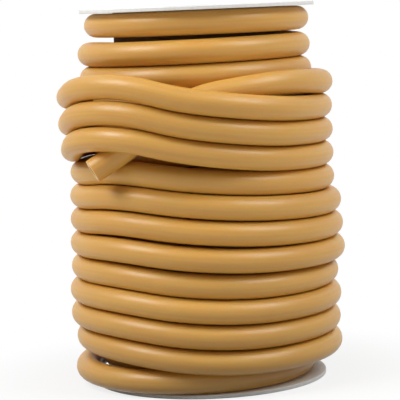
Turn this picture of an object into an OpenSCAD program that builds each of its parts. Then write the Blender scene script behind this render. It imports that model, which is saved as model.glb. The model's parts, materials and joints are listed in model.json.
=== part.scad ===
// Rubber tubing coil: amber rubber tubing wound in two layers on a paperboard spool.
// The inner layer goes down the core, the tube climbs out over the bottom flange, and the outer layer
// comes back up and stops short of the top. Its free end is tucked under the last three turns.
// The spool's axis is Z, the underside of the bottom flange is z = 0, and the front is towards -Y.

/* [Tubing] */
// Outside diameter of the tubing
tube_d = 9.5; // [8.5:0.1:10.5]
// Bore of the tubing
bore_d = 4.8; // [3:0.1:6.5]
// Straight length of tube at the free end
end_straight = 8; // [5:0.5:10]

/* [Spool] */
// Height of the spool over both flanges
spool_h = 152; // [130:1:180]
// Diameter of the flanges
flange_d = 95; // [90:1:110]
// Thickness of the flange board
flange_t = 1.5; // [1:0.1:3]
// Outside diameter of the core tube
core_d = 68; // [62:1:76]
// Wall of the core tube
core_wall = 2.5; // [1.5:0.1:4]
// Diameter of the spindle hole in each flange
spindle_d = 25; // [12:1:40]
// Bevel that blunts the cut edges of the flange board
edge_bevel = 0.3; // [0.1:0.05:0.45]

/* [Winding] */
// Gap between turns that lie side by side
turn_gap = 0.1; // [0.05:0.05:0.4]
// Gap between the inner and the outer layer
layer_gap = 0.3; // [0.3:0.05:0.6]
// Gap between the tubing and the spool
seat_gap = 0.2; // [0.1:0.05:0.4]
// Extra gap below the topmost turn
first_gap = 0.9; // [0:0.1:2]
// Angle by which the inner end lies behind the right side
start_angle = 30; // [15:1:35]

/* [Hidden] */
$fn = 64;
// Turns of the inner layer that the outer layer leaves bare at the top
bare_turns = 3;
// Turns of the outer layer that lie over the tucked end
lifted_turns = 3;
// Each second length of tube is trimmed by this much all round and laps into its neighbours by seam_lap,
// so that the lengths join as one tube
seam_trim = 0.03;
seam_lap = 0.2;
overrun = 1;

// The lowest and highest turns rest on the flanges, and the inner layer rests on the core
pitch = tube_d + turn_gap;
low_z = flange_t + seat_gap + tube_d / 2;
high_z = spool_h - low_z;
inner_r = core_d / 2 + seat_gap + tube_d / 2;
outer_r = inner_r + tube_d + layer_gap;
inner_turns = floor((high_z - low_z - first_gap) / pitch);
outer_turns = inner_turns - bare_turns;

// How loosely each turn lies, as shares of the tube's diameter that it stands off its layer
bare_right_shares = [0.16, 0.18, 0.21];
bare_left_shares = [0.22, 0.55, 0.5];
right_slack_shares = [0.12, 0.08, 0.14, 0.04, 0.36, 0.31, 0.26];
left_slack_shares = [0.2, 0.1, 0.3, 0.3, 0.2, 0.2, 0.15, 0.12, 0.06];
lifted_left_shares = [0.38, 0.46, 0.48];
dive_slack_share = 0.06;

// How far the tube goes up or down in each half turn, as shares of the pitch
bare_drop_share = 0.1;
first_rise_share = 0.78;
front_rise_share = 0.57;
lifted_left_rise_shares = [-0.05, 0.04, 0.18];
// How far the last inner turn sags at its left, as a share of the spare height over the bottom flange,
// and how far above the lowest turn it stays at least, as a share of the pitch
sag_share = 2.2;
last_left_share = 0.4;

// Each plain outer turn passes one place in front: azimuth from the front, rise per radian as a share of the
// pitch, and height above its right side as shares of the pitch, lowest turn first, so that the turns fan out
front_azimuth = -25;
front_slope_share = 0.66;
front_height_shares = [0.31, 0.36, 0.41, 0.43, 0.53, 0.63, 0.68, 0.69];

// Each lifted turn passes two places in front: azimuth from the front, height above its right side and
// rise per radian as shares of the pitch, spread per turn as a share of the pitch
lift_azimuths = [0, -36];
lift_height_shares = [0.57, 1.27];
lift_rise_shares = [0.97, 0];
lift_spread_shares = [0.026, 0.032];
// For each lifted turn, lowest first: how far out it stands at the two places, as shares of the tube's
// diameter, and how far it heads outwards at the first place, in degrees
lift_out_shares = [[0.7, 1.4], [0.9, 1.32], [1.08, 1.24]];
lift_headings = [8, 5, 2];

// The tucked end passes two places and then runs straight to its cut face: azimuth, stand-off as shares of
// the tube's diameter, height below its right side as shares of the pitch, rise per radian, heading
tuck_azimuths = [30, -14, -42.5];
tuck_out_shares = [0.16, 0.04, 1.47];
tuck_height_shares = [0.12, -0.88, -3.04];
tuck_rise_shares = [-0.4, -3.6, -3.8];
tuck_headings = [0, 7, 54];

function unit(v) = v / norm(v);
function share_at(shares, i) = i < len(shares) ? shares[i] : 0;

// A station is a place on the tube's centre line and the direction of travel there, clockwise from above.
// Side stations lie at the right (side 1) or at the left (side -1) of the spool.
function side_station(side, radius, height) = [[side * radius, 0, height], [0, -side, 0]];

// A station anywhere else, at an azimuth from the front that grows to the right
function spot(azimuth, radius, height, rise_share, heading) = [
  [radius * sin(azimuth), -radius * cos(azimuth), height],
  unit([-radius * cos(azimuth + heading), -radius * sin(azimuth + heading), rise_share * pitch])];

// Height of an inner turn at its right side: the turns lie close, and the tube then comes down to the flange
function inner_z(i) =
  i == 0 ? high_z :
  i < inner_turns ? high_z - first_gap - i * pitch :
  low_z;

// Height of an inner turn at its left side: the bare turns drop a little in front, and the hidden ones more
// and more, so that the last one sags into the spare height over the bottom flange
last_inner_z = inner_z(inner_turns - 1);
spare_h = last_inner_z - low_z - pitch;
bare_left_z = inner_z(bare_turns - 1) - bare_drop_share * pitch;
sagged_z = last_inner_z - bare_drop_share * pitch - sag_share * spare_h;
last_left_z = max(low_z + last_left_share * pitch, sagged_z);
hidden_pitch = (bare_left_z - last_left_z) / (inner_turns - bare_turns);
function inner_left_z(i) =
  i == 0 ? high_z :
  i < bare_turns ? inner_z(i) - bare_drop_share * pitch :
  bare_left_z - (i - bare_turns + 1) * hidden_pitch;

function inner_right(i) = side_station(1, inner_r + share_at(bare_right_shares, i) * tube_d, inner_z(i));
function inner_left(i) = side_station(-1, inner_r + share_at(bare_left_shares, i) * tube_d, inner_left_z(i));

// Height of an outer turn at its right side, and the number of a lifted turn from 0
function outer_z(k) = low_z + (first_rise_share + k) * pitch;
function lifted(k) = k - (outer_turns - lifted_turns);

function outer_right(k) = side_station(1,
  outer_r + (k == outer_turns ? dive_slack_share : share_at(right_slack_shares, k)) * tube_d, outer_z(k));
function outer_left(k) =
  k == 0 ? side_station(-1, outer_r + left_slack_shares[0] * tube_d, low_z) :
  let (n = lifted(k - 1), plain_z = outer_z(k - 1) + front_rise_share * pitch)
  n < 0 ?
    side_station(-1, outer_r + share_at(left_slack_shares, k) * tube_d, plain_z) :
    side_station(-1, outer_r + lifted_left_shares[n] * tube_d, plain_z + lifted_left_rise_shares[n] * pitch);

// The one place in front of a plain turn, as far out as the middle between its two sides
function plain_spot(k) = let (
  slack_share = (share_at(right_slack_shares, k) + share_at(left_slack_shares, k + 1)) / 2,
  height_share = front_height_shares[min(k, len(front_height_shares) - 1)])
  spot(front_azimuth, outer_r + slack_share * tube_d, outer_z(k) + height_share * pitch,
    front_slope_share, 0);

// The two places where a turn is lifted over the tucked end
function lift_spot(k, j) = let (n = lifted(k))
  spot(lift_azimuths[j], outer_r + lift_out_shares[n][j] * tube_d,
    outer_z(k) + (lift_height_shares[j] + n * lift_spread_shares[j]) * pitch,
    lift_rise_shares[j], j == 0 ? lift_headings[n] : 0);

function front_spots(k) =
  k == outer_turns ? [] :
  lifted(k) < 0 ? [plain_spot(k)] :
  [lift_spot(k, 0), lift_spot(k, 1)];

tuck_spots = [for (j = [0 : len(tuck_azimuths) - 1])
  spot(tuck_azimuths[j], outer_r + tuck_out_shares[j] * tube_d,
    outer_z(outer_turns) + tuck_height_shares[j] * pitch, tuck_rise_shares[j], tuck_headings[j])];

// The cut face of the free end, and the place where its straight length starts
cut_face = tuck_spots[len(tuck_spots) - 1];
straight_start = [cut_face[0] - end_straight * cut_face[1], cut_face[1]];

// The inner end starts behind the right side, level with the topmost turn
route = [
  spot(90 + start_angle, inner_r + bare_right_shares[0] * tube_d, high_z, 0, 0),
  for (i = [0 : inner_turns - 1]) each [inner_right(i), inner_left(i)],
  inner_right(inner_turns),
  for (k = [0 : outer_turns]) each concat([outer_left(k), outer_right(k)], front_spots(k)),
  tuck_spots[0], tuck_spots[1], straight_start];

// The tube is a chain of arcs, each from a point in a direction to another point. A half turn between two
// sides is one arc, and any other stretch is two arcs that share a tangent where they meet.
function at_side(station) = station[0].y == 0;
function arc_end_direction(arc) = let (chord = unit(arc[2] - arc[0])) 2 * (arc[1] * chord) * chord - arc[1];
function meeting_point(a, b) = let (
  gap = b[0] - a[0],
  both = a[1] + b[1],
  spread = 2 * (1 - a[1] * b[1]),
  reach = (sqrt((gap * both) ^ 2 + spread * (gap * gap)) - gap * both) / spread)
  (a[0] + b[0] + reach * (a[1] - b[1])) / 2;
function arcs_between(a, b) =
  at_side(a) && at_side(b) ? [[a[0], a[1], b[0]]] :
  let (first = [a[0], a[1], meeting_point(a, b)])
  [first, [first[2], arc_end_direction(first), b[0]]];
arcs = [for (i = [0 : len(route) - 2]) each arcs_between(route[i], route[i + 1])];

// Places the children with their X, Y and Z along the given directions
module placed(x, y, z, origin) {
  multmatrix([
    [x.x, y.x, z.x, origin.x],
    [x.y, y.y, z.y, origin.y],
    [x.z, y.z, z.z, origin.z],
    [0, 0, 0, 1]]) children();
}

module tube_section(trim) {
  difference() {
    circle(d = tube_d - 2 * trim);
    circle(d = bore_d + 2 * trim);
  }
}

// One arc of tube; a trimmed arc laps into the arcs before and after it
module bent_tube(arc, trimmed) {
  chord = arc[2] - arc[0];
  along = chord * arc[1];
  across = chord - along * arc[1];
  inward = unit(across);
  bend_r = (chord * chord) / (2 * norm(across));
  bend_angle = 2 * atan2(norm(across), along);
  lap_angle = trimmed ? seam_lap / bend_r * 180 / PI : 0;
  placed(-inward, arc[1], cross(-inward, arc[1]), arc[0] + bend_r * inward)
    rotate([0, 0, -lap_angle])
      rotate_extrude(angle = bend_angle + 2 * lap_angle)
        translate([bend_r, 0]) tube_section(trimmed ? seam_trim : 0);
}

// The straight length at the free end, with its square-cut face. Its bore flares a little at the seam,
// where the last arc laps into it, so that one bore runs smoothly into the other.
module straight_tube() {
  along = cut_face[1];
  sideways = unit(cross([0, 0, 1], along));
  placed(sideways, cross(along, sideways), along, straight_start[0])
    rotate_extrude() polygon([
      [bore_d / 2 + 2 * seam_trim, 0],
      [tube_d / 2, 0],
      [tube_d / 2, end_straight],
      [bore_d / 2, end_straight],
      [bore_d / 2, seam_lap]]);
}

module tubing() {
  last = len(arcs) - 1;
  color("#d9a45b") {
    for (i = [0 : last]) bent_tube(arcs[i], (last - i) % 2 == 0);
    straight_tube();
  }
}

// Spiral-wound paper tube between the two flanges
module core_tube() {
  color("#d8cdb8")
    translate([0, 0, flange_t]) difference() {
      cylinder(d = core_d, h = spool_h - 2 * flange_t);
      translate([0, 0, -overrun]) cylinder(d = core_d - 2 * core_wall, h = spool_h + 2 * overrun);
    }
}

// Die-cut board disc with blunted edges and the spindle hole
module flange_disc() {
  hole_r = spindle_d / 2;
  rim_r = flange_d / 2;
  color("#f2f1ec") rotate_extrude() polygon([
    [hole_r, 0],
    [rim_r - edge_bevel, 0],
    [rim_r, edge_bevel],
    [rim_r, flange_t - edge_bevel],
    [rim_r - edge_bevel, flange_t],
    [hole_r, flange_t]]);
}

module bottom_flange() { flange_disc(); }

module top_flange() { translate([0, 0, spool_h - flange_t]) flange_disc(); }

tubing();
core_tube();
bottom_flange();
top_flange();
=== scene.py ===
# %% [markdown]
# # Rubber tubing coil
# A length of amber natural-rubber tubing, wound in two layers on a paperboard spool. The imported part
# gives the sizes and places, and this lesson gives it its looks. The tubing is swept again along its
# route as one smooth mesh, the spool's discs get the edges that a die leaves on board, and each finish
# is made from nodes.

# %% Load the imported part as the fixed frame
import json
import math
import bpy
import numpy as np
from mathutils import Matrix, Vector


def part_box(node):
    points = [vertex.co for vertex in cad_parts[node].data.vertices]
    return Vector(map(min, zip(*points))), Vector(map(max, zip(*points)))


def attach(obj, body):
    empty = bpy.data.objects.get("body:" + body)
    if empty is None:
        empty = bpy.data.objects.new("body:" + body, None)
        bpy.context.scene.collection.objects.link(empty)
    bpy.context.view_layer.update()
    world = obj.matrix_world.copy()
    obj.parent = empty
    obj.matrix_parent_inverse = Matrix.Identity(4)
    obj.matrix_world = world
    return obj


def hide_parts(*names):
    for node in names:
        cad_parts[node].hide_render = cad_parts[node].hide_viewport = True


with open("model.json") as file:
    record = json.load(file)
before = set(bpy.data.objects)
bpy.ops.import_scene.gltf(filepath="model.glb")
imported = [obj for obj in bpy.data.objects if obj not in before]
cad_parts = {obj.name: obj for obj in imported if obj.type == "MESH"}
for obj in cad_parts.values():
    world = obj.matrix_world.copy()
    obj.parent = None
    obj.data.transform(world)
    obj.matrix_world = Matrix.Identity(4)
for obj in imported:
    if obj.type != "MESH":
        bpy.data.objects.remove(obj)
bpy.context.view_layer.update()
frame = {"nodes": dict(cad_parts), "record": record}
MM = 0.001

# %% [markdown]
# ## Camera
# A product photo like this one is taken with a long lens from some way off, so that the coil's near and
# far sides come out almost the same size. The camera stands in front, just above the top of the spool,
# and looks down by a few degrees. The picture leans a little to the left, and the camera is rolled to
# lean with it.

# %% Camera
PHOTO_PX = 400
FOCAL_PX = 1800
SENSOR_MM = 36
CAMERA_PLACE = Vector((0, -0.7336, 0.1531))
LOOK_DOWN = math.radians(6.256)
LOOK_LEFT = math.radians(0.135)
LEAN_RIGHT = math.radians(2.387)

camera_data = bpy.data.cameras.new("camera")
camera_data.sensor_width = SENSOR_MM
camera_data.lens = SENSOR_MM * FOCAL_PX / PHOTO_PX
camera = bpy.data.objects.new("camera", camera_data)
bpy.context.scene.collection.objects.link(camera)
camera.matrix_world = (
    Matrix.Translation(CAMERA_PLACE)
    @ Matrix.Rotation(LOOK_LEFT, 4, "Z")
    @ Matrix.Rotation(math.pi / 2 - LOOK_DOWN, 4, "X")
    @ Matrix.Rotation(-LEAN_RIGHT, 4, "Z")
)
bpy.context.scene.camera = camera
print("Camera: lens", camera_data.lens, "mm, place", list(CAMERA_PLACE))

# %% [markdown]
# ## The winding
# The tube starts behind the right side at the top of the core, goes down the core in the inner layer,
# climbs out over the bottom flange and comes back up in the outer layer. That layer stops three turns
# short of the top, and the free end is tucked under the last three turns, which stand up in a hump over
# it. A helix would be too neat: these turns were wound by hand, so each half turn has its own slack. So
# the route is a chain of stations, and loops work the turns out.

# %% Sizes that the winding follows
TUBE_D = 9.5 * MM
TURN_GAP = 0.1 * MM
LAYER_GAP = 0.3 * MM
SEAT_GAP = 0.2 * MM
FIRST_GAP = 0.9 * MM
BARE_TURNS = 3

end_mount = next(mount for mount in frame["record"]["mounts"] if mount["name"] == "tube_end")
bore_d = 2 * end_mount["dims"]["r_mm"] * MM
spool_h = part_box("top_flange")[1].z
flange_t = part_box("bottom_flange")[1].z
core_d = 2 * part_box("core_tube")[1].x
pitch = TUBE_D + TURN_GAP
low_z = flange_t + SEAT_GAP + TUBE_D / 2
high_z = spool_h - low_z
inner_r = core_d / 2 + SEAT_GAP + TUBE_D / 2
outer_r = inner_r + TUBE_D + LAYER_GAP
inner_turns = math.floor((high_z - low_z - FIRST_GAP) / pitch)
outer_turns = inner_turns - BARE_TURNS
print("Turns:", inner_turns, "inside,", outer_turns, "outside, bore", round(bore_d / MM, 2), "mm")

# %% [markdown]
# A station is a place on the tube and the direction in which the tube travels there. Most stations lie
# at the right and at the left, where the tube goes straight to the front or to the back, and two of them
# hold half a turn between them. How far a turn stands off its layer is a share of the tube's diameter,
# and how far it climbs is a share of the pitch.

# %% Stations
def unit(vector):
    return vector / np.linalg.norm(vector)


def share_at(shares, number):
    """The share for a turn, which is none past the end of the list."""
    return shares[number] if number < len(shares) else 0


def side_station(side, radius, height):
    """A station at the right (side 1) or at the left (side -1)."""
    return np.array((side * radius, 0.0, height)), np.array((0.0, -side, 0.0))


def spot(azimuth, radius, height, rise_share, heading):
    """A station anywhere else, at an azimuth from the front. A heading turns the travel outwards."""
    round_angle = math.radians(azimuth)
    aim = math.radians(azimuth + heading)
    place = np.array((radius * math.sin(round_angle), -radius * math.cos(round_angle), height))
    travel = np.array((-radius * math.cos(aim), -radius * math.sin(aim), rise_share * pitch))
    return place, unit(travel)


print("Radii of the layers in mm:", round(inner_r / MM, 2), "and", round(outer_r / MM, 2))

# %% [markdown]
# ## The inner layer
# The three turns at the top stay bare, and the spring of the tube holds them a little off the core. The
# outer layer hides the others, but they are part of the tube's length, so they are all there, and they
# share out the height that is left.

# %% Inner layer
RIGHT_AZIMUTH = 90
START_ANGLE = 30
BARE_RIGHT_SHARES = (0.16, 0.18, 0.21)
BARE_LEFT_SHARES = (0.22, 0.55, 0.5)
BARE_DROP_SHARE = 0.1
LAST_LEFT_SHARE = 0.4
SAG_SHARE = 2.2


def inner_z(turn):
    if turn == 0:
        return high_z
    if turn < inner_turns:
        return high_z - FIRST_GAP - turn * pitch
    return low_z


last_inner_z = inner_z(inner_turns - 1)
spare_h = last_inner_z - low_z - pitch
bare_left_z = inner_z(BARE_TURNS - 1) - BARE_DROP_SHARE * pitch
sagged_z = last_inner_z - BARE_DROP_SHARE * pitch - SAG_SHARE * spare_h
last_left_z = max(low_z + LAST_LEFT_SHARE * pitch, sagged_z)
hidden_pitch = (bare_left_z - last_left_z) / (inner_turns - BARE_TURNS)


def inner_left_z(turn):
    if turn == 0:
        return high_z
    if turn < BARE_TURNS:
        return inner_z(turn) - BARE_DROP_SHARE * pitch
    return bare_left_z - (turn - BARE_TURNS + 1) * hidden_pitch


def inner_right(turn):
    return side_station(1, inner_r + share_at(BARE_RIGHT_SHARES, turn) * TUBE_D, inner_z(turn))


def inner_left(turn):
    return side_station(-1, inner_r + share_at(BARE_LEFT_SHARES, turn) * TUBE_D, inner_left_z(turn))


start_r = inner_r + BARE_RIGHT_SHARES[0] * TUBE_D
stations = [spot(RIGHT_AZIMUTH + START_ANGLE, start_r, high_z, 0, 0)]
for turn in range(inner_turns):
    stations += [inner_right(turn), inner_left(turn)]
stations.append(inner_right(inner_turns))
print("Stations of the inner layer:", len(stations))

# %% [markdown]
# ## The outer layer
# At the bottom the tube swings out in front, over the flange, and winds up again. The right station of
# each turn lies one pitch above the one below it, and the left station that follows lies more than half a
# pitch further up. The tucked end lifts the last three turns, so they stand further off at the left.

# %% Sides of the outer layer
LIFTED_TURNS = 3
RIGHT_SLACK_SHARES = (0.12, 0.08, 0.14, 0.04, 0.36, 0.31, 0.26)
LEFT_SLACK_SHARES = (0.2, 0.1, 0.3, 0.3, 0.2, 0.2, 0.15, 0.12, 0.06)
LIFTED_LEFT_SHARES = (0.38, 0.46, 0.48)
DIVE_SLACK_SHARE = 0.06
FIRST_RISE_SHARE = 0.78
FRONT_RISE_SHARE = 0.57
LIFTED_LEFT_RISE_SHARES = (-0.05, 0.04, 0.18)


def outer_z(turn):
    return low_z + (FIRST_RISE_SHARE + turn) * pitch


def lifted(turn):
    """The number of a lifted turn from 0, or less than 0 for a turn that isn't lifted."""
    return turn - (outer_turns - LIFTED_TURNS)


def outer_right(turn):
    slack = DIVE_SLACK_SHARE if turn == outer_turns else share_at(RIGHT_SLACK_SHARES, turn)
    return side_station(1, outer_r + slack * TUBE_D, outer_z(turn))


def outer_left(turn):
    if turn == 0:
        return side_station(-1, outer_r + LEFT_SLACK_SHARES[0] * TUBE_D, low_z)
    number = lifted(turn - 1)
    height = outer_z(turn - 1) + FRONT_RISE_SHARE * pitch
    if number < 0:
        return side_station(-1, outer_r + share_at(LEFT_SLACK_SHARES, turn) * TUBE_D, height)
    height += LIFTED_LEFT_RISE_SHARES[number] * pitch
    return side_station(-1, outer_r + LIFTED_LEFT_SHARES[number] * TUBE_D, height)


print("Lifted turns:", [turn for turn in range(outer_turns) if lifted(turn) >= 0])

# %% [markdown]
# In front, a plain turn passes one more station and a lifted turn passes two, the second on the hump.
# Each has an azimuth from the front, a share for how far out it stands, its height above the right side,
# and how steeply it rises there. The plain turns fan out a little, and dark gaps open between some.

# %% Front of the outer layer
FRONT_AZIMUTH = -25
FRONT_SLOPE_SHARE = 0.66
FRONT_HEIGHT_SHARES = (0.31, 0.36, 0.41, 0.43, 0.53, 0.63, 0.68, 0.69)
LIFT_AZIMUTHS = (0, -36)
LIFT_HEIGHT_SHARES = (0.57, 1.27)
LIFT_RISE_SHARES = (0.97, 0)
LIFT_SPREAD_SHARES = (0.026, 0.032)
LIFT_OUT_SHARES = ((0.7, 1.4), (0.9, 1.32), (1.08, 1.24))
LIFT_HEADINGS = (8, 5, 2)


def plain_spot(turn):
    slack = (share_at(RIGHT_SLACK_SHARES, turn) + share_at(LEFT_SLACK_SHARES, turn + 1)) / 2
    height = outer_z(turn) + FRONT_HEIGHT_SHARES[turn] * pitch
    return spot(FRONT_AZIMUTH, outer_r + slack * TUBE_D, height, FRONT_SLOPE_SHARE, 0)


def lift_spot(turn, which):
    """The first (which 0) or the second (which 1) station of a lifted turn in front."""
    number = lifted(turn)
    radius = outer_r + LIFT_OUT_SHARES[number][which] * TUBE_D
    height = outer_z(turn) + (LIFT_HEIGHT_SHARES[which] + number * LIFT_SPREAD_SHARES[which]) * pitch
    heading = LIFT_HEADINGS[number] if which == 0 else 0
    return spot(LIFT_AZIMUTHS[which], radius, height, LIFT_RISE_SHARES[which], heading)


def front_spots(turn):
    if turn == outer_turns:
        return []
    if lifted(turn) < 0:
        return [plain_spot(turn)]
    return [lift_spot(turn, 0), lift_spot(turn, 1)]


for turn in range(outer_turns + 1):
    stations += [outer_left(turn), outer_right(turn)] + front_spots(turn)
print("Stations of both layers:", len(stations))

# %% [markdown]
# The free end leaves the topmost outer turn at the right, dives under the lifted turns in front, and
# comes out below them on the left. It ends in a short straight length, for a fitting to be pushed in.

# %% Tucked end
END_STRAIGHT = 8 * MM
TUCK_AZIMUTHS = (30, -14, -42.5)
TUCK_OUT_SHARES = (0.16, 0.04, 1.47)
TUCK_HEIGHT_SHARES = (0.12, -0.88, -3.04)
TUCK_RISE_SHARES = (-0.4, -3.6, -3.8)
TUCK_HEADINGS = (0, 7, 54)


def tuck_spot(which):
    radius = outer_r + TUCK_OUT_SHARES[which] * TUBE_D
    height = outer_z(outer_turns) + TUCK_HEIGHT_SHARES[which] * pitch
    return spot(TUCK_AZIMUTHS[which], radius, height, TUCK_RISE_SHARES[which], TUCK_HEADINGS[which])


cut_place, cut_travel = tuck_spot(2)
stations += [tuck_spot(0), tuck_spot(1), (cut_place - END_STRAIGHT * cut_travel, cut_travel)]
print("Stations:", len(stations))

# %% [markdown]
# ## From stations to a centre line
# Between two sides the tube follows one half circle. Any other stretch is two arcs that share a tangent
# where they meet, which is how a springy tube bends between two held places. Points every few
# millimetres along the arcs are the ring centres of the swept mesh.

# %% Centre line
RING_STEP = 4.2 * MM


def meeting_point(start, leaving, end, arriving):
    """Where two arcs of equal reach meet between two stations."""
    gap = end - start
    both = leaving + arriving
    spread = 2 * (1 - leaving @ arriving)
    reach = (math.sqrt((gap @ both) ** 2 + spread * (gap @ gap)) - gap @ both) / spread
    return (start + end + reach * (leaving - arriving)) / 2


def arc_points(start, travel, end):
    """Points on the arc that leaves start along travel, up to just before end, and its last travel."""
    chord = end - start
    across = chord - (chord @ travel) * travel
    inward = unit(across)
    bend_r = chord @ chord / (2 * np.linalg.norm(across))
    bend = 2 * math.atan2(np.linalg.norm(across), chord @ travel)
    count = math.ceil(bend_r * bend / RING_STEP)
    angles = np.linspace(0, bend, count, endpoint=False)
    points = start + bend_r * (np.outer(1 - np.cos(angles), inward) + np.outer(np.sin(angles), travel))
    return points, 2 * (travel @ unit(chord)) * unit(chord) - travel


rows = []
for (start, leaving), (end, arriving) in zip(stations[:-1], stations[1:]):
    if start[1] == 0 and end[1] == 0:
        rows.append(arc_points(start, leaving, end)[0])
        continue
    middle = meeting_point(start, leaving, end, arriving)
    points, travel = arc_points(start, leaving, middle)
    rows += [points, arc_points(middle, travel, end)[0]]
steps = np.linspace(END_STRAIGHT, 0, math.ceil(END_STRAIGHT / RING_STEP) + 1)
rows.append(cut_place - np.outer(steps, cut_travel))
centres = np.concatenate(rows)
along = np.concatenate([[0], np.cumsum(np.linalg.norm(np.diff(centres, axis=0), axis=1))])

# %% [markdown]
# ## The tubing's mesh
# A curve with a round bevel would make the same outside, but not the bore or a square-cut end. So rings
# of vertices are laid round the centre line, an outer and a bore ring at each centre, in a frame that is
# carried along without twisting. At each end three close rings round the cut edge off, as a knife leaves
# soft rubber. Each vertex also keeps its place on the tube, its section and its length along, for the
# rubber's pattern to read: a pattern on it has no seam and follows every bend.

# %% Rings of the tubing
SIDES = 24
CUT_ROUND = 0.25 * MM


def carried_frames(points):
    """Two directions across the line at each point, carried along without twist, and the travel."""
    travel = np.gradient(points, axis=0)
    travel /= np.linalg.norm(travel, axis=1)[:, None]
    first = np.zeros_like(points)
    normal = np.array((0.0, 0.0, 1.0))
    for number, direction in enumerate(travel):
        normal = unit(normal - (normal @ direction) * direction)
        first[number] = normal
    return first, np.cross(travel, first), travel


halfway = CUT_ROUND * (1 - math.sqrt(0.5))
end_rings = ((0, CUT_ROUND), (halfway, halfway), (CUT_ROUND, 0))
rings = [(0, setback, inset) for setback, inset in end_rings]
rings += [(number, 0, 0) for number in range(1, len(centres) - 1)]
rings += [(len(centres) - 1, -setback, inset) for setback, inset in reversed(end_rings)]
ring_number = np.array([number for number, _, _ in rings])
ring_shift = np.array([shift for _, shift, _ in rings])
ring_inset = np.array([inset for _, _, inset in rings])
first, second, travel = (vectors[ring_number] for vectors in carried_frames(centres))
ring_centre = centres[ring_number] + ring_shift[:, None] * travel
ring_along = along[ring_number] + ring_shift
side_angles = 2 * math.pi * np.arange(SIDES) / SIDES


def wall(radii):
    """The vertices of a wall with a radius for each ring, and their places on the tube."""
    x = np.outer(radii, np.cos(side_angles))[:, :, None]
    y = np.outer(radii, np.sin(side_angles))[:, :, None]
    points = ring_centre[:, None] + x * first[:, None] + y * second[:, None]
    z = np.broadcast_to(ring_along[:, None, None], x.shape)
    return points.reshape(-1, 3), np.concatenate([x, y, z], axis=2).reshape(-1, 3)


outer_points, outer_places = wall(TUBE_D / 2 - ring_inset)
bore_points, bore_places = wall(np.full(len(rings), bore_d / 2))
print("Vertices:", len(outer_points) + len(bore_points))

# %% [markdown]
# The faces join the rings round the outside, back through the bore, and across the two cut ends. The
# bore's corners go round the other way, so that its faces point out of the rubber too.

# %% Faces of the tubing
ring, side = (grid.ravel() for grid in np.meshgrid(range(len(rings) - 1), range(SIDES), indexing="ij"))
corner_ring = np.stack([ring, ring, ring + 1, ring + 1], axis=1)
corner_side = np.stack([side, side + 1, side + 1, side], axis=1)
outer_faces = corner_ring * SIDES + corner_side % SIDES
bore_faces = outer_faces[:, ::-1] + len(outer_points)
start_faces = np.concatenate([outer_faces[:SIDES, 1::-1], bore_faces[:SIDES, 3:1:-1]], axis=1)
cut_faces = np.concatenate([outer_faces[-SIDES:, 3:1:-1], bore_faces[-SIDES:, 1::-1]], axis=1)
tube_points = np.concatenate([outer_points, bore_points])
tube_places = np.concatenate([outer_places, bore_places])
tube_faces = np.concatenate([outer_faces, bore_faces, start_faces, cut_faces])
print("Faces:", len(tube_faces))

# %% [markdown]
# A map unrolls the rubber's surface, for a picture of it. In one strip it would be as thin as a hair, so it
# is laid out in several, one above the other. Each strip has a row for the outside and one for the bore,
# and the two cut ends lie in a row at the top.

# %% Map of the tubing
STRIPS = 13
OUTER_ROW_SHARES = (0.02, 0.65)
BORE_ROW_SHARES = (0.68, 0.99)
END_MAP_CENTRES = (0.25, 0.75)

per_strip = math.ceil((len(rings) - 1) / STRIPS)
strip = (ring // per_strip)[:, None]
strip_height = math.pi * TUBE_D / (OUTER_ROW_SHARES[1] - OUTER_ROW_SHARES[0])


def strip_map(low, high):
    """Places on the map of a wall's face corners, in the share of each row from low to high."""
    across = (corner_ring - strip * per_strip) / per_strip
    upward = strip + low + (high - low) * corner_side / SIDES
    return np.stack([across, upward / (STRIPS + 1)], axis=2)


def end_map(faces, centre):
    """Places on the map of a cut end's face corners, in the top row."""
    across = centre + tube_places[faces, 0] / (per_strip * RING_STEP)
    upward = STRIPS + 0.5 + tube_places[faces, 1] / strip_height
    return np.stack([across, upward / (STRIPS + 1)], axis=2)


face_map = np.concatenate([
    strip_map(*OUTER_ROW_SHARES),
    strip_map(*BORE_ROW_SHARES)[:, ::-1],
    end_map(start_faces, END_MAP_CENTRES[0]),
    end_map(cut_faces, END_MAP_CENTRES[1]),
])
print("Mapped", len(face_map), "faces in", STRIPS, "strips")

# %% [markdown]
# The arrays become one mesh, with the map and the places on the tube. It rides on the part's only body and
# stands in for the imported tubing.

# %% Make the tubing
SMOOTH_UNDER = math.radians(50)

bpy.ops.object.select_all(action="DESELECT")
tube_mesh = bpy.data.meshes.new("rubber_tubing")
tube_mesh.from_pydata(tube_points, [], tube_faces.tolist())
tube_mesh.attributes.new("tube_place", "FLOAT_VECTOR", "POINT")
tube_mesh.attributes["tube_place"].data.foreach_set("vector", tube_places.ravel())
tube_mesh.uv_layers.new(name="OFBake")
tube_mesh.uv_layers["OFBake"].uv.foreach_set("vector", face_map.ravel())
tubing = bpy.data.objects.new("rubber_tubing", tube_mesh)
bpy.context.scene.collection.objects.link(tubing)
bpy.context.view_layer.objects.active = tubing
tubing.select_set(True)
bpy.ops.object.shade_smooth_by_angle(angle=SMOOTH_UNDER)
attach(tubing, "root")
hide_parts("tubing")

# %% [markdown]
# ## The flanges
# Each end of the spool is a disc that a die has punched from white-lined board. Close up, its edge isn't
# a plain cylinder: the board is pressed from plies, whose joints are faint grooves. A plain extruded
# disc would lose them, so a circle is extruded inwards to a ring, and the ring is raised ply by ply.

# %% Model a flange
RIM_POINTS = 180
PLIES = 3
GROOVE = 0.06 * MM
GROOVE_DEPTH = 0.05 * MM

spindle_mount = next(mount for mount in frame["record"]["mounts"] if mount["name"] == "spindle_bore")
hole_r = spindle_mount["dims"]["r_mm"] * MM
rim_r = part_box("bottom_flange")[1].x
ply_t = (flange_t - (PLIES - 1) * GROOVE) / PLIES


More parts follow.
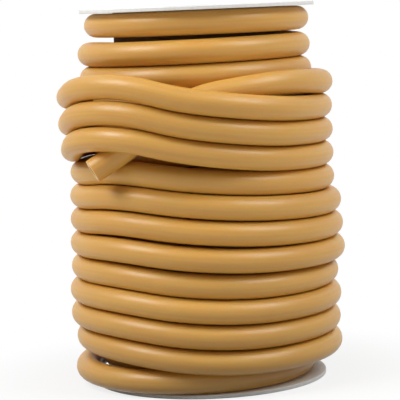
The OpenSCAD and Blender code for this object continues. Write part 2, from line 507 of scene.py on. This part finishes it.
def extrude(shift=(0, 0, 0)):
    bpy.ops.mesh.extrude_region_move(TRANSFORM_OT_translate={"value": shift})


def spread_out(factor):
    bpy.ops.transform.resize(value=(factor, factor, 1), center_override=(0, 0, 0))


def flange_blank(name):
    """A flange with sharp edges, whose inner face lies at z = 0."""
    bpy.ops.object.select_all(action="DESELECT")
    bpy.ops.mesh.primitive_circle_add(vertices=RIM_POINTS, radius=rim_r, fill_type="NOTHING")
    flange = bpy.context.object
    flange.name = name
    bpy.ops.object.mode_set(mode="EDIT")
    bpy.ops.mesh.select_all(action="SELECT")
    bpy.ops.mesh.extrude_edges_move()
    spread_out(hole_r / rim_r)
    bpy.ops.mesh.select_all(action="SELECT")
    groove_factor = 1 - GROOVE_DEPTH / rim_r
    extrude((0, 0, ply_t))
    for ply in range(1, PLIES):
        extrude()
        spread_out(groove_factor)
        extrude((0, 0, GROOVE))
        extrude()
        spread_out(1 / groove_factor)
        extrude((0, 0, ply_t))
    bpy.ops.mesh.select_all(action="SELECT")
    bpy.ops.mesh.normals_make_consistent(inside=False)
    bpy.ops.object.mode_set(mode="OBJECT")
    return flange


top_flange = flange_blank("top_flange_board")
print("Blank:", len(top_flange.data.polygons), "faces in", PLIES, "plies")

# %% [markdown]
# The die presses on the board as it cuts, which leaves both edges of the rim a little rounded. Only those
# edges are wanted, so the ones that lie on a face and run round the rim are selected, and then bevelled.

# %% Round the rim
DIE_ROUND = 0.3 * MM
DIE_ROUND_STEPS = 3

bpy.ops.object.mode_set(mode="EDIT")
bpy.ops.mesh.select_mode(type="EDGE")
bpy.ops.mesh.select_all(action="DESELECT")
bpy.ops.object.mode_set(mode="OBJECT")
for edge in top_flange.data.edges:
    start, end = (top_flange.data.vertices[number].co for number in edge.vertices)
    level = abs(start.z - end.z) < GROOVE / 2
    same_radius = abs(start.xy.length - end.xy.length) < GROOVE / 2
    at_face = min(abs(start.z), abs(start.z - flange_t)) < GROOVE / 2
    edge.select = level and same_radius and at_face and start.xy.length > (hole_r + rim_r) / 2
bpy.ops.object.mode_set(mode="EDIT")
bpy.ops.mesh.bevel(offset=DIE_ROUND, segments=DIE_ROUND_STEPS, affect="EDGES")
bpy.ops.object.mode_set(mode="OBJECT")
print("Flange:", len(top_flange.data.polygons), "faces")

# %% [markdown]
# The bottom flange is a copy with a mesh of its own, turned over so that the same face points outwards at
# both ends. Each flange's place goes into its mesh, and its object stays at the origin, as the packed
# pieces do, so that patterns stay where they are.

# %% Put the flanges in place
bottom_flange = top_flange.copy()
bottom_flange.data = top_flange.data.copy()
bottom_flange.name = "bottom_flange_board"
bpy.context.scene.collection.objects.link(bottom_flange)
for flange, node, turn_over, height in (
    (top_flange, "top_flange", 0, spool_h - flange_t),
    (bottom_flange, "bottom_flange", math.pi, flange_t),
):
    bpy.ops.object.select_all(action="DESELECT")
    bpy.context.view_layer.objects.active = flange
    flange.select_set(True)
    flange.data.transform(Matrix.Translation((0, 0, height)) @ Matrix.Rotation(turn_over, 4, "X"))
    bpy.ops.object.shade_smooth_by_angle(angle=SMOOTH_UNDER)
    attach(flange, "root")
    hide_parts(node)
    print(flange.name, [round(side / MM, 2) for side in flange.dimensions])

# %% [markdown]
# ## Colours and nodes
# Colours are written as the sRGB hex values that a colour picker shows, and one function turns them
# into the linear values that a shader works in. One more function adds a node with its settings and
# links.

# %% Helpers for the finishes
def linear(hex_colour):
    channels = [int(hex_colour[start : start + 2], 16) / 255 for start in (1, 3, 5)]
    curve = [c / 12.92 if c <= 0.04045 else ((c + 0.055) / 1.055) ** 2.4 for c in channels]
    return (*curve, 1)


def add_node(tree, kind, settings, inputs):
    """Adds a node. An input is a value or another node's output, under its socket's name or number."""
    node = tree.nodes.new(kind)
    for name, value in settings.items():
        setattr(node, name, value)
    for key, value in inputs.items():
        if isinstance(value, bpy.types.NodeSocket):
            tree.links.new(value, node.inputs[key])
        else:
            node.inputs[key].default_value = value
    return node


def new_finish(name):
    material = bpy.data.materials.new(name)
    material.use_nodes = True
    material.node_tree.nodes.clear()
    return material, material.node_tree


print("Mid grey in linear light:", [round(c, 3) for c in linear("#808080")])

# %% [markdown]
# ## Natural rubber
# Extruded latex is amber, a little translucent, and satin rather than glossy. The length varies slowly
# between honey and tan, and the draw through the die leaves faint lines along the tube. Real ones are a
# fraction of a millimetre wide, and they are drawn as coarse as they need to be to show. Noise gives
# both: it reads each vertex's place on the tube, so it has no seam, and it is stretched lengthwise for
# the lines. Noise mostly keeps between two levels, which are spread over the whole range of a colour or
# a gloss.

# %% Pattern of the amber rubber
RUBBER_LIGHT = "#dba952"
RUBBER_DARK = "#ce9843"
DRIFT_MM = 90
DRIFT_DETAIL = 3
LINE_WIDTH_MM = 1.1
LINE_LENGTH_MM = 70
LINE_DETAIL = 2
LINE_SHARE = 0.45
LINE_RELIEF = 0.12
GRAIN_MM = 2.2
GRAIN_DETAIL = 4
SATIN_RANGE = (0.38, 0.48)
NOISE_LOW = 0.3
NOISE_HIGH = 0.7
RELIEF_H = 0.1 * MM

amber, tree = new_finish("natural_rubber_extruded")
place = add_node(tree, "ShaderNodeAttribute", {"attribute_name": "tube_place"}, {}).outputs["Vector"]
drift = add_node(tree, "ShaderNodeTexNoise", {}, {
    "Vector": place, "Scale": 1 / (DRIFT_MM * MM), "Detail": DRIFT_DETAIL})
line_scale = (1 / (LINE_WIDTH_MM * MM), 1 / (LINE_WIDTH_MM * MM), 1 / (LINE_LENGTH_MM * MM))
lined = add_node(tree, "ShaderNodeMapping", {}, {"Vector": place, "Scale": line_scale})
lines = add_node(tree, "ShaderNodeTexNoise", {}, {
    "Vector": lined.outputs["Vector"], "Scale": 1, "Detail": LINE_DETAIL})
grain = add_node(tree, "ShaderNodeTexNoise", {}, {
    "Vector": place, "Scale": 1 / (GRAIN_MM * MM), "Detail": GRAIN_DETAIL})
streaked = add_node(tree, "ShaderNodeMix", {}, {
    "Factor": LINE_SHARE, "A": drift.outputs["Fac"], "B": lines.outputs["Fac"]})
tint = add_node(tree, "ShaderNodeValToRGB", {}, {"Fac": streaked.outputs["Result"]})
tint.color_ramp.elements[0].position = NOISE_LOW
tint.color_ramp.elements[0].color = linear(RUBBER_DARK)
tint.color_ramp.elements[1].position = NOISE_HIGH
tint.color_ramp.elements[1].color = linear(RUBBER_LIGHT)
satin = add_node(tree, "ShaderNodeMapRange", {}, {
    "Value": grain.outputs["Fac"],
    "From Min": NOISE_LOW,
    "From Max": NOISE_HIGH,
    "To Min": SATIN_RANGE[0],
    "To Max": SATIN_RANGE[1],
})
relief = add_node(tree, "ShaderNodeBump", {}, {
    "Height": lines.outputs["Fac"], "Strength": LINE_RELIEF, "Distance": RELIEF_H})
print("Streaks of", LINE_WIDTH_MM, "mm by", LINE_LENGTH_MM, "mm along the rubber")

# %% [markdown]
# Light goes some millimetres into latex, red furthest, and comes out warmer, so shaded sides turn
# orange-brown instead of grey. Half of the diffuse light is given to this scattering, which keeps the
# turns from looking like wax. A thin coat stands for the smooth skin that the die leaves.

# %% Amber rubber
RUBBER_IOR = 1.52
RUBBER_DEPTH = (6 * MM, 2.4 * MM, 0.7 * MM)
SCATTER_SHARE = 0.5
SKIN_GLOSS = 0.07
SKIN_ROUGHNESS = 0.2

depth_shares = [depth / RUBBER_DEPTH[0] for depth in RUBBER_DEPTH]
rubber = add_node(tree, "ShaderNodeBsdfPrincipled", {}, {
    "Base Color": tint.outputs["Color"],
    "Roughness": satin.outputs["Result"],
    "Normal": relief.outputs["Normal"],
    "IOR": RUBBER_IOR,
    "Coat Weight": SKIN_GLOSS,
    "Coat Roughness": SKIN_ROUGHNESS,
    "Subsurface Weight": SCATTER_SHARE,
    "Subsurface Radius": depth_shares,
    "Subsurface Scale": RUBBER_DEPTH[0],
})
add_node(tree, "ShaderNodeOutputMaterial", {}, {"Surface": rubber.outputs["BSDF"]})
tube_mesh.materials.append(amber)
print("Nodes in the rubber:", len(tree.nodes))

# %% [markdown]
# A knife leaves the cut face matt and paler than the drawn skin, because the fresh face scatters more
# light. Its fine marks are drawn coarse enough to show. The faces of the two ends were made last, so they
# are the last in the mesh, and a second material is set on them.

# %% Cut rubber
CUT_LIGHT = "#ecd0a0"
CUT_DARK = "#e0bd86"
CUT_ROUGHNESS = 0.7
CUT_SCATTER_SHARE = 0.4
KNIFE_MM = 0.6
KNIFE_DETAIL = 3
KNIFE_RELIEF = 0.2

cut_rubber, tree = new_finish("natural_rubber_cut")
place = add_node(tree, "ShaderNodeAttribute", {"attribute_name": "tube_place"}, {}).outputs["Vector"]
marks = add_node(tree, "ShaderNodeTexNoise", {}, {
    "Vector": place, "Scale": 1 / (KNIFE_MM * MM), "Detail": KNIFE_DETAIL})
tint = add_node(tree, "ShaderNodeValToRGB", {}, {"Fac": marks.outputs["Fac"]})
tint.color_ramp.elements[0].color = linear(CUT_DARK)
tint.color_ramp.elements[1].color = linear(CUT_LIGHT)
relief = add_node(tree, "ShaderNodeBump", {}, {
    "Height": marks.outputs["Fac"], "Strength": KNIFE_RELIEF, "Distance": RELIEF_H})
rubber = add_node(tree, "ShaderNodeBsdfPrincipled", {}, {
    "Base Color": tint.outputs["Color"],
    "Roughness": CUT_ROUGHNESS,
    "Normal": relief.outputs["Normal"],
    "IOR": RUBBER_IOR,
    "Subsurface Weight": CUT_SCATTER_SHARE,
    "Subsurface Radius": depth_shares,
    "Subsurface Scale": RUBBER_DEPTH[0],
})
add_node(tree, "ShaderNodeOutputMaterial", {}, {"Surface": rubber.outputs["BSDF"]})
tube_mesh.materials.append(cut_rubber)
end_face_count = len(start_faces) + len(cut_faces)
for polygon in tube_mesh.polygons[-end_face_count:]:
    polygon.material_index = 1
print("Cut faces:", end_face_count)

# %% [markdown]
# ## Board and paper
# The flanges are white-lined board: a smooth clay coat, with a faint mottle of the fibres under it. Fine
# noise, coarser than real fibres so that it shows, gives the mottle its colour and its slight relief.

# %% White board
COAT = "#f1f0ec"
COAT_SHADE = "#ebeae6"
COAT_ROUGHNESS = 0.55
FIBRE_MM = 1.6
FIBRE_DETAIL = 5
FIBRE_LOW = 0.35
FIBRE_HIGH = 0.6
COAT_RELIEF = 0.15
COAT_RELIEF_H = 0.05 * MM

board, tree = new_finish("white_lined_board")
place = add_node(tree, "ShaderNodeTexCoord", {}, {}).outputs["Object"]
fibres = add_node(tree, "ShaderNodeTexNoise", {}, {
    "Vector": place, "Scale": 1 / (FIBRE_MM * MM), "Detail": FIBRE_DETAIL})
tint = add_node(tree, "ShaderNodeValToRGB", {}, {"Fac": fibres.outputs["Fac"]})
tint.color_ramp.elements[0].position = FIBRE_LOW
tint.color_ramp.elements[0].color = linear(COAT_SHADE)
tint.color_ramp.elements[1].position = FIBRE_HIGH
tint.color_ramp.elements[1].color = linear(COAT)
relief = add_node(tree, "ShaderNodeBump", {}, {
    "Height": fibres.outputs["Fac"], "Strength": COAT_RELIEF, "Distance": COAT_RELIEF_H})
coat = add_node(tree, "ShaderNodeBsdfPrincipled", {}, {
    "Base Color": tint.outputs["Color"],
    "Roughness": COAT_ROUGHNESS,
    "Normal": relief.outputs["Normal"],
})
add_node(tree, "ShaderNodeOutputMaterial", {}, {"Surface": coat.outputs["BSDF"]})
for flange in (top_flange, bottom_flange):
    flange.data.materials.append(board)
print("Board on", top_flange.name, "and", bottom_flange.name)

# %% [markdown]
# The core is a tube wound from strips of tan paper, and each strip leaves a slanting seam round it. The
# angle round the tube and the height add up to a count of strips, and its fraction is nought at a seam.

# %% Spiral paper
PAPER_LIGHT = "#8f6b42"
PAPER_DARK = "#6e4f2e"
PAPER_ROUGHNESS = 0.8
PAPER_RELIEF = 0.3
STRIP_LEAD_MM = 60
SEAM_SHARE = 0.02

paper, tree = new_finish("spiral_wound_paper")
place = add_node(tree, "ShaderNodeTexCoord", {}, {}).outputs["Object"]
parts = add_node(tree, "ShaderNodeSeparateXYZ", {}, {"Vector": place})
angle = add_node(tree, "ShaderNodeMath", {"operation": "ARCTAN2"}, {
    0: parts.outputs["Y"], 1: parts.outputs["X"]})
turned = add_node(tree, "ShaderNodeMath", {"operation": "DIVIDE"}, {
    0: angle.outputs["Value"], 1: 2 * math.pi})
climbed = add_node(tree, "ShaderNodeMath", {"operation": "DIVIDE"}, {
    0: parts.outputs["Z"], 1: STRIP_LEAD_MM * MM})
wound = add_node(tree, "ShaderNodeMath", {"operation": "ADD"}, {
    0: turned.outputs["Value"], 1: climbed.outputs["Value"]})
strip_share = add_node(tree, "ShaderNodeMath", {"operation": "FRACT"}, {0: wound.outputs["Value"]})
seam = add_node(tree, "ShaderNodeMath", {"operation": "LESS_THAN"}, {
    0: strip_share.outputs["Value"], 1: SEAM_SHARE})
fibres = add_node(tree, "ShaderNodeTexNoise", {}, {
    "Vector": place, "Scale": 1 / (FIBRE_MM * MM), "Detail": FIBRE_DETAIL})
shade = add_node(tree, "ShaderNodeMath", {"operation": "SUBTRACT"}, {
    0: fibres.outputs["Fac"], 1: seam.outputs["Value"]})
tint = add_node(tree, "ShaderNodeValToRGB", {}, {"Fac": shade.outputs["Value"]})
tint.color_ramp.elements[0].color = linear(PAPER_DARK)
tint.color_ramp.elements[1].color = linear(PAPER_LIGHT)
relief = add_node(tree, "ShaderNodeBump", {}, {
    "Height": shade.outputs["Value"], "Strength": PAPER_RELIEF, "Distance": RELIEF_H})
kraft = add_node(tree, "ShaderNodeBsdfPrincipled", {}, {
    "Base Color": tint.outputs["Color"],
    "Roughness": PAPER_ROUGHNESS,
    "Normal": relief.outputs["Normal"],
})
add_node(tree, "ShaderNodeOutputMaterial", {}, {"Surface": kraft.outputs["BSDF"]})
core = frame["nodes"]["core_tube"]
core.data.materials.clear()
core.data.materials.append(paper)
print("Paper on", core.name)

# %% [markdown]
# ## Floor, light and backdrop
# The coil stands on a wide white table in a white room. A Light Path node tells the rays that the camera
# sees, straight or in a reflection, from those that only carry light, so the background can be white
# without more light on the coil.

# %% Floor
FLOOR_R = 3
FLOOR_POINTS = 64


def seen_share(tree):
    """1 for the rays that the camera sees, straight or by gloss or glass, and 0 for the others."""
    rays = add_node(tree, "ShaderNodeLightPath", {}, {})
    glossy = add_node(tree, "ShaderNodeMath", {"operation": "MAXIMUM"}, {
        0: rays.outputs["Is Camera Ray"], 1: rays.outputs["Is Glossy Ray"]})
    seen = add_node(tree, "ShaderNodeMath", {"operation": "MAXIMUM"}, {
        0: glossy.outputs["Value"], 1: rays.outputs["Is Transmission Ray"]})
    return seen.outputs["Value"]


bpy.ops.object.select_all(action="DESELECT")
bpy.ops.mesh.primitive_circle_add(vertices=FLOOR_POINTS, radius=FLOOR_R, fill_type="NGON")
floor = bpy.context.object
floor.name = "floor"
print("Floor radius", FLOOR_R, "m")

# %% [markdown]
# To the camera the table glows white, and near the coil a share of plain matt surface shows the coil's
# soft shadow and fades out. Towards the coil, the table close to it sends back less light, as a grey card
# would, so the undersides of the low turns stay dark. A Mix node that mixes colours has sockets of the
# same names for plain values, so its colour sockets are given by number.

# %% White table
FLOOR_WHITE = "#f4f4f4"
CARD_DARK = "#7c7c7c"
CARD_R = 0.06
CARD_FADE_R = 0.18
SHADOW_SHARE = 0.2
SHADOW_NEAR_R = 0.05
SHADOW_FAR_R = 0.12
MIX_COLOUR_A = 6
MIX_COLOUR_B = 7
MIX_COLOUR_OUT = 2

white, tree = new_finish("white_table")
seen = seen_share(tree)
place = add_node(tree, "ShaderNodeTexCoord", {}, {}).outputs["Object"]
out = add_node(tree, "ShaderNodeVectorMath", {"operation": "LENGTH"}, {0: place}).outputs["Value"]
white_share = add_node(tree, "ShaderNodeMapRange", {"interpolation_type": "SMOOTHSTEP"}, {
    "Value": out, "From Min": SHADOW_NEAR_R, "From Max": SHADOW_FAR_R, "To Min": 1 - SHADOW_SHARE})
glow_share = add_node(tree, "ShaderNodeMath", {"operation": "MULTIPLY"}, {
    0: seen, 1: white_share.outputs["Result"]})
off_card = add_node(tree, "ShaderNodeMapRange", {"interpolation_type": "SMOOTHSTEP"}, {
    "Value": out, "From Min": CARD_R, "From Max": CARD_FADE_R})
bright = add_node(tree, "ShaderNodeMath", {"operation": "MAXIMUM"}, {
    0: seen, 1: off_card.outputs["Result"]})
tint = add_node(tree, "ShaderNodeMix", {"data_type": "RGBA"}, {
    "Factor": bright.outputs["Value"],
    MIX_COLOUR_A: linear(CARD_DARK),
    MIX_COLOUR_B: linear(FLOOR_WHITE),
})
matt = add_node(tree, "ShaderNodeBsdfDiffuse", {}, {"Color": tint.outputs[MIX_COLOUR_OUT]})
glow = add_node(tree, "ShaderNodeEmission", {}, {"Color": linear("#ffffff"), "Strength": 1})
both = add_node(tree, "ShaderNodeMixShader", {}, {
    0: glow_share.outputs["Value"], 1: matt.outputs["BSDF"], 2: glow.outputs["Emission"]})
add_node(tree, "ShaderNodeOutputMaterial", {}, {"Surface": both.outputs["Shader"]})
floor.data.materials.append(white)
print("Nodes in the table:", len(tree.nodes))

# %% [markdown]
# Two soft boxes stand in front, high up to the left and the right, and give each turn its two broad
# highlights. Each row has a name, then the azimuth from the front and the elevation in degrees, the
# distance from the middle of the spool and the width in metres, and the power in watts.

# %% Lamps
SOFT_BOXES = (
    ("left_soft_box", -66, 47, 1.1, 0.5, 8.5),
    ("right_soft_box", 66, 47, 1.3, 0.6, 8.9),
)

for name, azimuth, elevation, distance, width, power in SOFT_BOXES:
    round_angle = math.radians(azimuth)
    up_angle = math.radians(elevation)
    level = math.cos(up_angle)
    back = Vector((math.sin(round_angle) * level, -math.cos(round_angle) * level, math.sin(up_angle)))
    lamp_data = bpy.data.lights.new(name, "AREA")
    lamp_data.shape = "SQUARE"
    lamp_data.size = width
    lamp_data.energy = power
    lamp = bpy.data.objects.new(name, lamp_data)
    bpy.context.scene.collection.objects.link(lamp)
    lamp.location = Vector((0, 0, spool_h / 2)) + distance * back
    lamp.rotation_mode = "QUATERNION"
    lamp.rotation_quaternion = back.to_track_quat("Z", "Y")
    print(name, "at", [round(x, 2) for x in lamp.location])

# %% [markdown]
# A weak, even light from all round stands for the room. What the camera sees of it, straight or in a
# reflection, is white. The Standard view then shows each colour as it is written.

# %% World
AMBIENT = 0.18

world = bpy.data.worlds.new("light_tent")
bpy.context.scene.world = world
world.use_nodes = True
tree = world.node_tree
tree.nodes.clear()
strength = add_node(tree, "ShaderNodeMapRange", {}, {
    "Value": seen_share(tree), "To Min": AMBIENT, "To Max": 1})
sky = add_node(tree, "ShaderNodeBackground", {}, {
    "Color": linear("#ffffff"), "Strength": strength.outputs["Result"]})
add_node(tree, "ShaderNodeOutputWorld", {}, {"Surface": sky.outputs["Background"]})
bpy.context.scene.view_settings.view_transform = "Standard"
print("Ambient light:", AMBIENT)
